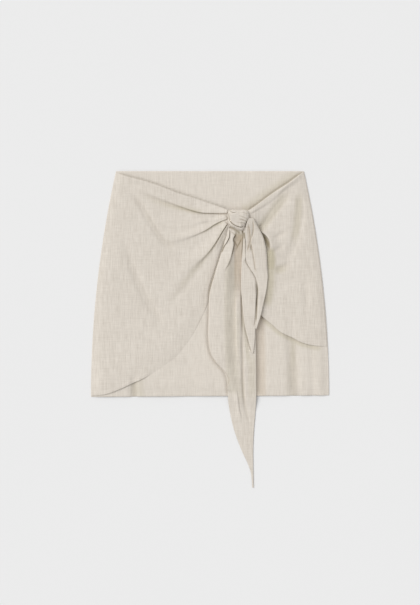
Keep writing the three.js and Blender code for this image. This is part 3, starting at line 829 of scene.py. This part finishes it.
def make_tail(name, outline, under, body, folds, troughs, columns, rows, seed, material,
              shade_bands=(), painted_warm_shade=()):
    """A tail folded lengthwise, rounded over at its edges, where its layers show."""
    u, v = grid_uv(columns, rows, crowd_u=0.6)
    x, y = tail_point(outline, u, v)
    width = np.abs(x[:, -1:] - x[:, :1])
    to_edge = np.minimum(u, 1 - u) * width
    over = clamp01(to_edge / TAIL_EDGE_ROUND)
    plump = mix(TAIL_EDGE_PLUMP, 1, np.sqrt(1 - (1 - over) ** 2))
    low_face = under(x, y)
    high_face = low_face + (body(y) if callable(body) else body)
    moved_x, moved_y, high_face, fold_crease_shade = raise_folds(folds, x, y, high_face, over)
    depth, crease_shade = sink_troughs(troughs, x, y)
    high_face = high_face - depth * over + TAIL_RUMPLE * rumple(x, y, seed) * over
    high_face = np.maximum(high_face, low_face + LINEN)
    middle = mix(low_face, high_face, TAIL_MIDDLE)
    top = mix(middle, high_face, plump)
    inner = np.stack([x, y, mix(middle, low_face, plump)], -1)
    # Painted shade in the tail's creases and hollows, and painted warm shade
    painted_shades = {
        "crease_shade": np.maximum(crease_shade, fold_crease_shade),
        "painted_shade": painted_shade_amount(shade_bands, x, y),
        "painted_warm_shade": painted_shade_amount(painted_warm_shade, x, y),
    }
    return cloth_piece(name, moved_x, moved_y, top, inner, x, y, LAYERED_EDGE, material, **painted_shades)


def make_knot(material):
    """The knot: a squat bundle, creased where the wraps cross in it."""
    turns, rings = 220, 90
    outline = KNOT_OUTLINE + KNOT_OUTLINE[:1]
    rim_x, rim_y = trace(outline, np.linspace(0, 1, turns, endpoint=False))
    out = 1 - (1 - np.linspace(0, 1, rings + 1)) ** KNOT_RIM_CROWDING
    x = mix(KNOT_MIDDLE[0], rim_x[None, :], out[:, None])
    y = mix(KNOT_MIDDLE[1], rim_y[None, :], out[:, None])
    crown = np.sqrt(np.maximum(0, 1 - out**KNOT_SQUATNESS))[:, None] + 0 * x
    low_level, high_level = KNOT_LEVELS
    middle = mix(low_level, high_level, KNOT_WAIST_SHARE)
    top = middle + (high_level - middle) * crown
    moved_x, moved_y, top, fold_crease_shade = raise_folds(KNOT_FOLDS, x, y, top, crown)
    depth, crease_shade = sink_troughs(KNOT_TROUGHS, x, y)
    # Painted shade in the knot's creases
    crease_shade = KNOT_CREASE_SHADE_SHARE * np.maximum(crease_shade, fold_crease_shade)
    hills = KNOT_RUMPLE["height"] * crumple(x, y, KNOT_RUMPLE["size"], KNOT_RUMPLE["seed"])
    top = top - depth * crown + hills * crown
    bottom = middle - (middle - low_level) * crown[::-1]
    top_points = np.stack([moved_x, moved_y, top], -1)
    low_points = np.stack([x[::-1], y[::-1], bottom], -1)[1:]
    points = np.concatenate([top_points, low_points])
    flat = np.stack([x, y], -1)
    index = np.arange(points.shape[0] * turns).reshape(-1, turns)
    beside = np.roll(index, -1, axis=1)
    quads = np.stack([index[:-1], index[1:], beside[1:], beside[:-1]], -1).reshape(-1, 4)
    grain = np.concatenate([flat, flat[::-1][1:]]).reshape(-1, 2)
    painted_shades = {"crease_shade": np.concatenate([crease_shade, 0 * crease_shade[1:]]).ravel()}
    piece = make_mesh("knot_bundle", points.reshape(-1, 3), quads, grain, painted_shades, material)
    close_middles(piece)
    return piece


def close_middles(piece):
    """Merges the points in which the knot's rings end, above and below."""
    mesh = bmesh.new()
    mesh.from_mesh(piece.data)
    bmesh.ops.remove_doubles(mesh, verts=mesh.verts, dist=1e-6)
    bmesh.ops.recalc_face_normals(mesh, faces=mesh.faces)
    mesh.to_mesh(piece.data)
    mesh.free()


class Nodes:
    """Adds and links the nodes of one tree."""

    def __init__(self, tree):
        self.tree = tree

    def add(self, kind, inputs=(), **settings):
        node = self.tree.nodes.new(kind)
        for key, value in settings.items():
            setattr(node, key, value)
        for key, value in dict(inputs).items():
            if isinstance(value, bpy.types.NodeSocket):
                self.tree.links.new(value, node.inputs[key])
            else:
                node.inputs[key].default_value = value
        return node

    def math(self, operation, a, b=0.0):
        return self.add("ShaderNodeMath", {0: a, 1: b}, operation=operation).outputs[0]

    def blend(self, factor, a, b):
        """A colour between two others."""
        given = {"Factor": factor, "A": (*a, 1), "B": (*b, 1)}
        return self.add("ShaderNodeMix", given, data_type="RGBA").outputs["Result"]

    def slub(self, grain, slub):
        """Uneven yarns: noise drawn out along one way of the grain, in metres."""
        scale = (1 / slub.across, 1 / slub.along, 1)
        drawn_out = self.add("ShaderNodeMapping", {"Vector": grain, "Scale": scale}).outputs[0]
        noise = {"Vector": drawn_out, "Scale": 1.0, "Detail": slub.detail, "Roughness": 0.5}
        noise = self.add("ShaderNodeTexNoise", noise, noise_dimensions="2D").outputs["Fac"]
        return self.math("MULTIPLY", noise, slub.share)

    def with_painted_shade(self, colour, attribute, tone):
        """A colour with painted shade: brought down to a share of itself where the cloth's
        attribute says so.
        """
        where = self.add("ShaderNodeAttribute", attribute_name=attribute).outputs["Fac"]
        share = self.blend(where, (1, 1, 1), tone)
        both = {"Factor": 1.0, "A": colour, "B": share}
        both = self.add("ShaderNodeMix", both, data_type="RGBA", blend_type="MULTIPLY")
        return both.outputs["Result"]


def linen(name, light, dark):
    """Plain-weave linen with slubs both ways, faint weave, and a matt, slightly fuzzy finish."""
    material = bpy.data.materials.new(name)
    material.use_nodes = True
    material.node_tree.nodes.clear()
    n = Nodes(material.node_tree)
    grain = n.add("ShaderNodeUVMap", uv_map="grain").outputs[0]
    tone = n.slub(grain, SLUBS[0])
    for slub in SLUBS[1:]:
        tone = n.math("ADD", tone, n.slub(grain, slub))
    dark_tone, light_tone = SLUB_TONES
    ramp = {0: tone, 1: dark_tone, 2: light_tone, 3: 0.0, 4: 1.0}
    ramp = n.add("ShaderNodeMapRange", ramp, clamp=True).outputs[0]
    axes = n.add("ShaderNodeSeparateXYZ", {0: grain})
    turn = math.pi / YARN_PITCH
    over = n.math("SINE", n.math("MULTIPLY", axes.outputs[0], turn))
    beside = n.math("SINE", n.math("MULTIPLY", axes.outputs[1], turn))
    weave = n.math("MULTIPLY", over, beside)
    shade = n.math("ADD", ramp, n.math("MULTIPLY", weave, WEAVE_SHADE))
    colour = n.blend(shade, dark, light)
    # Painted shade: the cloth's tone darkened in hollows, warmer beside folds, and darker in
    # creases
    colour = n.with_painted_shade(colour, "painted_shade", PAINTED_SHADE_TONE)
    colour = n.with_painted_shade(colour, "painted_warm_shade", PAINTED_WARM_SHADE_TONE)
    colour = n.with_painted_shade(colour, "crease_shade", PAINTED_CREASE_SHADE_TONE)
    woven = n.math("MULTIPLY", weave, YARN_BUMP["weave"])
    height = n.math("ADD", woven, n.math("MULTIPLY", tone, YARN_BUMP["slubs"]))
    bump = {"Height": height, "Distance": YARN_BUMP["height"], "Strength": YARN_BUMP["strength"]}
    bump = n.add("ShaderNodeBump", bump)
    rough = dict(enumerate((tone, *ROUGH_TONES, *ROUGHNESS)))
    rough = n.add("ShaderNodeMapRange", rough).outputs[0]
    shader = n.add(
        "ShaderNodeBsdfPrincipled",
        {
            "Base Color": colour,
            "Roughness": rough,
            "Normal": bump.outputs[0],
            "Sheen Weight": LINEN_SHEEN["weight"],
            "Sheen Roughness": LINEN_SHEEN["roughness"],
            "Sheen Tint": LINEN_SHEEN["tint"],
            "Specular IOR Level": LINEN_SPECULAR,
        },
    )
    n.add("ShaderNodeOutputMaterial", {"Surface": shader.outputs[0]})
    return material


def backdrop_material():
    material = bpy.data.materials.new("pale_backdrop")
    material.use_nodes = True
    shader = material.node_tree.nodes["Principled BSDF"]
    n = Nodes(material.node_tree)
    place = n.add("ShaderNodeTexCoord").outputs["Object"]
    clouds = n.add("ShaderNodeTexNoise", {"Vector": place, "Scale": FLOOR_CLOUDS}).outputs["Fac"]
    tone = n.blend(clouds, *([grey] * 3 for grey in FLOOR_GREYS))
    material.node_tree.links.new(tone, shader.inputs["Base Color"])
    shader.inputs["Roughness"].default_value = FLOOR_ROUGHNESS
    shader.inputs["Specular IOR Level"].default_value = FLOOR_SPECULAR
    return material


def make_floor():
    mesh = bpy.data.meshes.new("table_top")
    corners = [(-FLOOR_HALF, -FLOOR_HALF), (FLOOR_HALF, -FLOOR_HALF),
               (FLOOR_HALF, FLOOR_HALF), (-FLOOR_HALF, FLOOR_HALF)]
    mesh.from_pydata([(x, y, FLOOR_LEVEL) for x, y in corners], [], [(0, 1, 2, 3)])
    mesh.materials.append(backdrop_material())
    floor = bpy.data.objects.new("table_top", mesh)
    bpy.context.scene.collection.objects.link(floor)


def make_key(azimuth, elevation, share):
    """A broad, even light that gives a share of all the light on the table."""
    light = bpy.data.lights.new("soft_key", "SUN")
    light.angle = math.radians(KEY_SOFTNESS)
    light.energy = share * math.pi / math.sin(math.radians(elevation))
    lamp = bpy.data.objects.new("soft_key", light)
    bpy.context.scene.collection.objects.link(lamp)
    lamp.rotation_euler = (math.radians(90 - elevation), 0, math.radians(azimuth + 90))


def make_studio():
    make_floor()
    world = bpy.data.worlds.new("soft_room")
    world.use_nodes = True
    room = world.node_tree.nodes["Background"].inputs
    room["Color"].default_value = (1, 1, 1, 1)
    room["Strength"].default_value = 1 - KEY_SHARE
    bpy.context.scene.world = world
    bpy.context.scene.view_settings.view_transform = "Standard"
    make_key(KEY_AZIMUTH, KEY_ELEVATION, KEY_SHARE)


def make_camera():
    camera = bpy.data.cameras.new("camera")
    camera.lens = LENS
    camera.sensor_fit = "HORIZONTAL"
    camera.sensor_width = SENSOR
    camera.clip_end = FARTHEST_VIEW
    eye = bpy.data.objects.new("camera", camera)
    bpy.context.scene.collection.objects.link(eye)
    eye.location = (0, PHOTO_MIDDLE_Y, PHOTO_WIDTH * LENS / SENSOR)
    bpy.context.scene.camera = eye


def stitch_tree(material):
    """Short raised stitches along a line."""
    tree = bpy.data.node_groups.new("hem_stitches", "GeometryNodeTree")
    face = tree.interface
    face.new_socket("Line", in_out="INPUT", socket_type="NodeSocketGeometry")
    sizes = {
        "Pitch": STITCH_PITCH,
        "Stitch Length": STITCH_LENGTH,
        "Thread Width": THREAD_WIDTH,
    }
    for name in sizes:
        face.new_socket(name, in_out="INPUT", socket_type="NodeSocketFloat")
    face.new_socket("Seed", in_out="INPUT", socket_type="NodeSocketInt")
    face.new_socket("Stitches", in_out="OUTPUT", socket_type="NodeSocketGeometry")
    n = Nodes(tree)
    given = n.add("NodeGroupInput").outputs
    line = n.add("GeometryNodeMeshToCurve", {"Mesh": given["Line"]}).outputs["Curve"]
    evenly = {"Curve": line, "Length": given["Pitch"]}
    evenly = n.add("GeometryNodeResampleCurve", evenly, mode="LENGTH").outputs["Curve"]
    stitch = {"Segments": 6, "Rings": 4, "Radius": 0.5}
    stitch = n.add("GeometryNodeMeshUVSphere", stitch).outputs["Mesh"]
    thick = n.math("MULTIPLY", given["Thread Width"], THREAD_FLATNESS)
    size = {"X": given["Stitch Length"], "Y": given["Thread Width"], "Z": thick}
    size = n.add("ShaderNodeCombineXYZ", size).outputs[0]
    uneven = {"Seed": given["Seed"], 0: UNEVEN_STITCHES[0], 1: UNEVEN_STITCHES[1]}
    uneven = n.add("FunctionNodeRandomValue", uneven, data_type="FLOAT_VECTOR").outputs["Value"]
    size = n.add("ShaderNodeVectorMath", {0: size, 1: uneven}, operation="MULTIPLY").outputs[0]
    along = n.add("GeometryNodeInputTangent").outputs[0]
    turn = n.add("FunctionNodeAlignRotationToVector", {"Vector": along}, axis="X").outputs[0]
    row = {"Points": evenly, "Instance": stitch, "Rotation": turn, "Scale": size}
    row = n.add("GeometryNodeInstanceOnPoints", row).outputs[0]
    row = n.add("GeometryNodeRealizeInstances", {0: row}).outputs[0]
    row = n.add("GeometryNodeSetShadeSmooth", {0: row}).outputs[0]
    row = n.add("GeometryNodeSetMaterial", {"Geometry": row, "Material": material}).outputs[0]
    n.add("NodeGroupOutput", {"Stitches": row})
    inputs = [item for item in face.items_tree if item.in_out == "INPUT"]
    values = sizes | {"Seed": STITCH_SEED}
    return tree, {item.identifier: values[item.name] for item in inputs if item.name in values}


def make_stitches(name, line, tree, inputs):
    """A row of stitches along a line on the cloth, as a plain mesh."""
    mesh = bpy.data.meshes.new(name + "_line")
    steps_on = [(i, i + 1) for i in range(len(line) - 1)]
    mesh.from_pydata((np.array(line) * MM).tolist(), steps_on, [])
    piece = bpy.data.objects.new(name, mesh)
    bpy.context.scene.collection.objects.link(piece)
    row = piece.modifiers.new("stitches", "NODES")
    row.node_group = tree
    for identifier, value in inputs.items():
        row[identifier] = value
    made = piece.evaluated_get(bpy.context.evaluated_depsgraph_get())
    stitches = bpy.data.meshes.new_from_object(made)
    piece.modifiers.remove(row)
    piece.data = stitches
    return piece


def thread():
    """Linen sewing thread, twisted, a little lighter than the cloth."""
    material = bpy.data.materials.new("linen_thread")
    material.use_nodes = True
    material.node_tree.nodes.clear()
    n = Nodes(material.node_tree)
    place = n.add("ShaderNodeTexCoord").outputs["Object"]
    twist = {"Vector": place, "Scale": THREAD_TWIST["scale"]}
    twist["Distortion"] = THREAD_TWIST["distortion"]
    twist = n.add("ShaderNodeTexWave", twist, bands_direction="DIAGONAL").outputs["Fac"]
    fuzz = n.add("ShaderNodeTexNoise", {"Vector": place, "Scale": THREAD_FUZZ_SCALE})
    halves = [n.math("MULTIPLY", part, 0.5) for part in (twist, fuzz.outputs["Fac"])]
    shade = n.math("ADD", *halves)
    bump = {"Height": shade, "Distance": THREAD_BUMP["height"]}
    bump["Strength"] = THREAD_BUMP["strength"]
    look = {
        "Base Color": n.blend(shade, THREAD_DARK, THREAD_LIGHT),
        "Normal": n.add("ShaderNodeBump", bump).outputs[0],
        "Roughness": THREAD_ROUGHNESS,
        "Specular IOR Level": THREAD_SPECULAR,
    }
    shader = n.add("ShaderNodeBsdfPrincipled", look)
    n.add("ShaderNodeOutputMaterial", {"Surface": shader.outputs[0]})
    return material


def declare(piece, node, with_pieces=()):
    """Puts a piece and the pieces with it on the root body, and hides the solid it stands for."""
    for part in (piece, *with_pieces):
        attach(part, "root")
    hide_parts(node)


make_camera()
make_studio()
wrap_linen = linen("wrap_linen", LIGHT_YARN, DARK_YARN)
under_linen = linen("underskirt_linen", UNDER_LIGHT_YARN, UNDER_DARK_YARN)

back = make_back(under_linen)
front, front_hem = make_front(under_linen)
right, right_hem = make_wrap(
    "right_wrap", RIGHT_WRAP, RIGHT_WRAP_FOLDS, RIGHT_WRAP_TROUGHS, RIGHT_WRAP_PAINTED_SHADE,
    columns=180, rows=250, seed=11, material=wrap_linen,
)
left, left_hem = make_wrap(
    "left_wrap", LEFT_WRAP, LEFT_WRAP_FOLDS, LEFT_WRAP_TROUGHS, LEFT_WRAP_PAINTED_SHADE,
    columns=150, rows=240, seed=21, material=wrap_linen,
)
tail = make_tail(
    "long_tail", LONG_TAIL, long_tail_under, long_tail_body, LONG_TAIL_FOLDS, LONG_TAIL_TROUGHS,
    columns=90, rows=360, seed=31, material=wrap_linen, shade_bands=LONG_TAIL_PAINTED_SHADE, painted_warm_shade=LONG_TAIL_PAINTED_WARM_SHADE,
)
strip = make_tail(
    "short_tail_strip", STRIP, strip_under, STRIP_BODY, STRIP_FOLDS, STRIP_TROUGHS,
    columns=50, rows=180, seed=41, material=wrap_linen,
)
face = make_tail(
    "short_tail_face", FACE, face_under, FACE_BODY, FACE_FOLDS, FACE_TROUGHS,
    columns=64, rows=180, seed=51, material=wrap_linen, painted_warm_shade=FACE_PAINTED_WARM_SHADE,
)
knot = make_knot(wrap_linen)

tree, inputs = stitch_tree(thread())
front_stitches = make_stitches("front_hem_stitches", front_hem, tree, inputs)
right_stitches = make_stitches("right_hem_stitches", right_hem, tree, inputs)
left_stitches = make_stitches("left_hem_stitches", left_hem, tree, inputs)
bpy.context.view_layer.update()

declare(back, "back_panel")
declare(front, "front_panel", [front_stitches])
declare(right, "wrap_panel_right", [right_stitches])
declare(left, "wrap_panel_left", [left_stitches])
declare(tail, "tail_long")
declare(strip, "tail_short_under")
declare(face, "tail_short_top")
declare(knot, "knot")
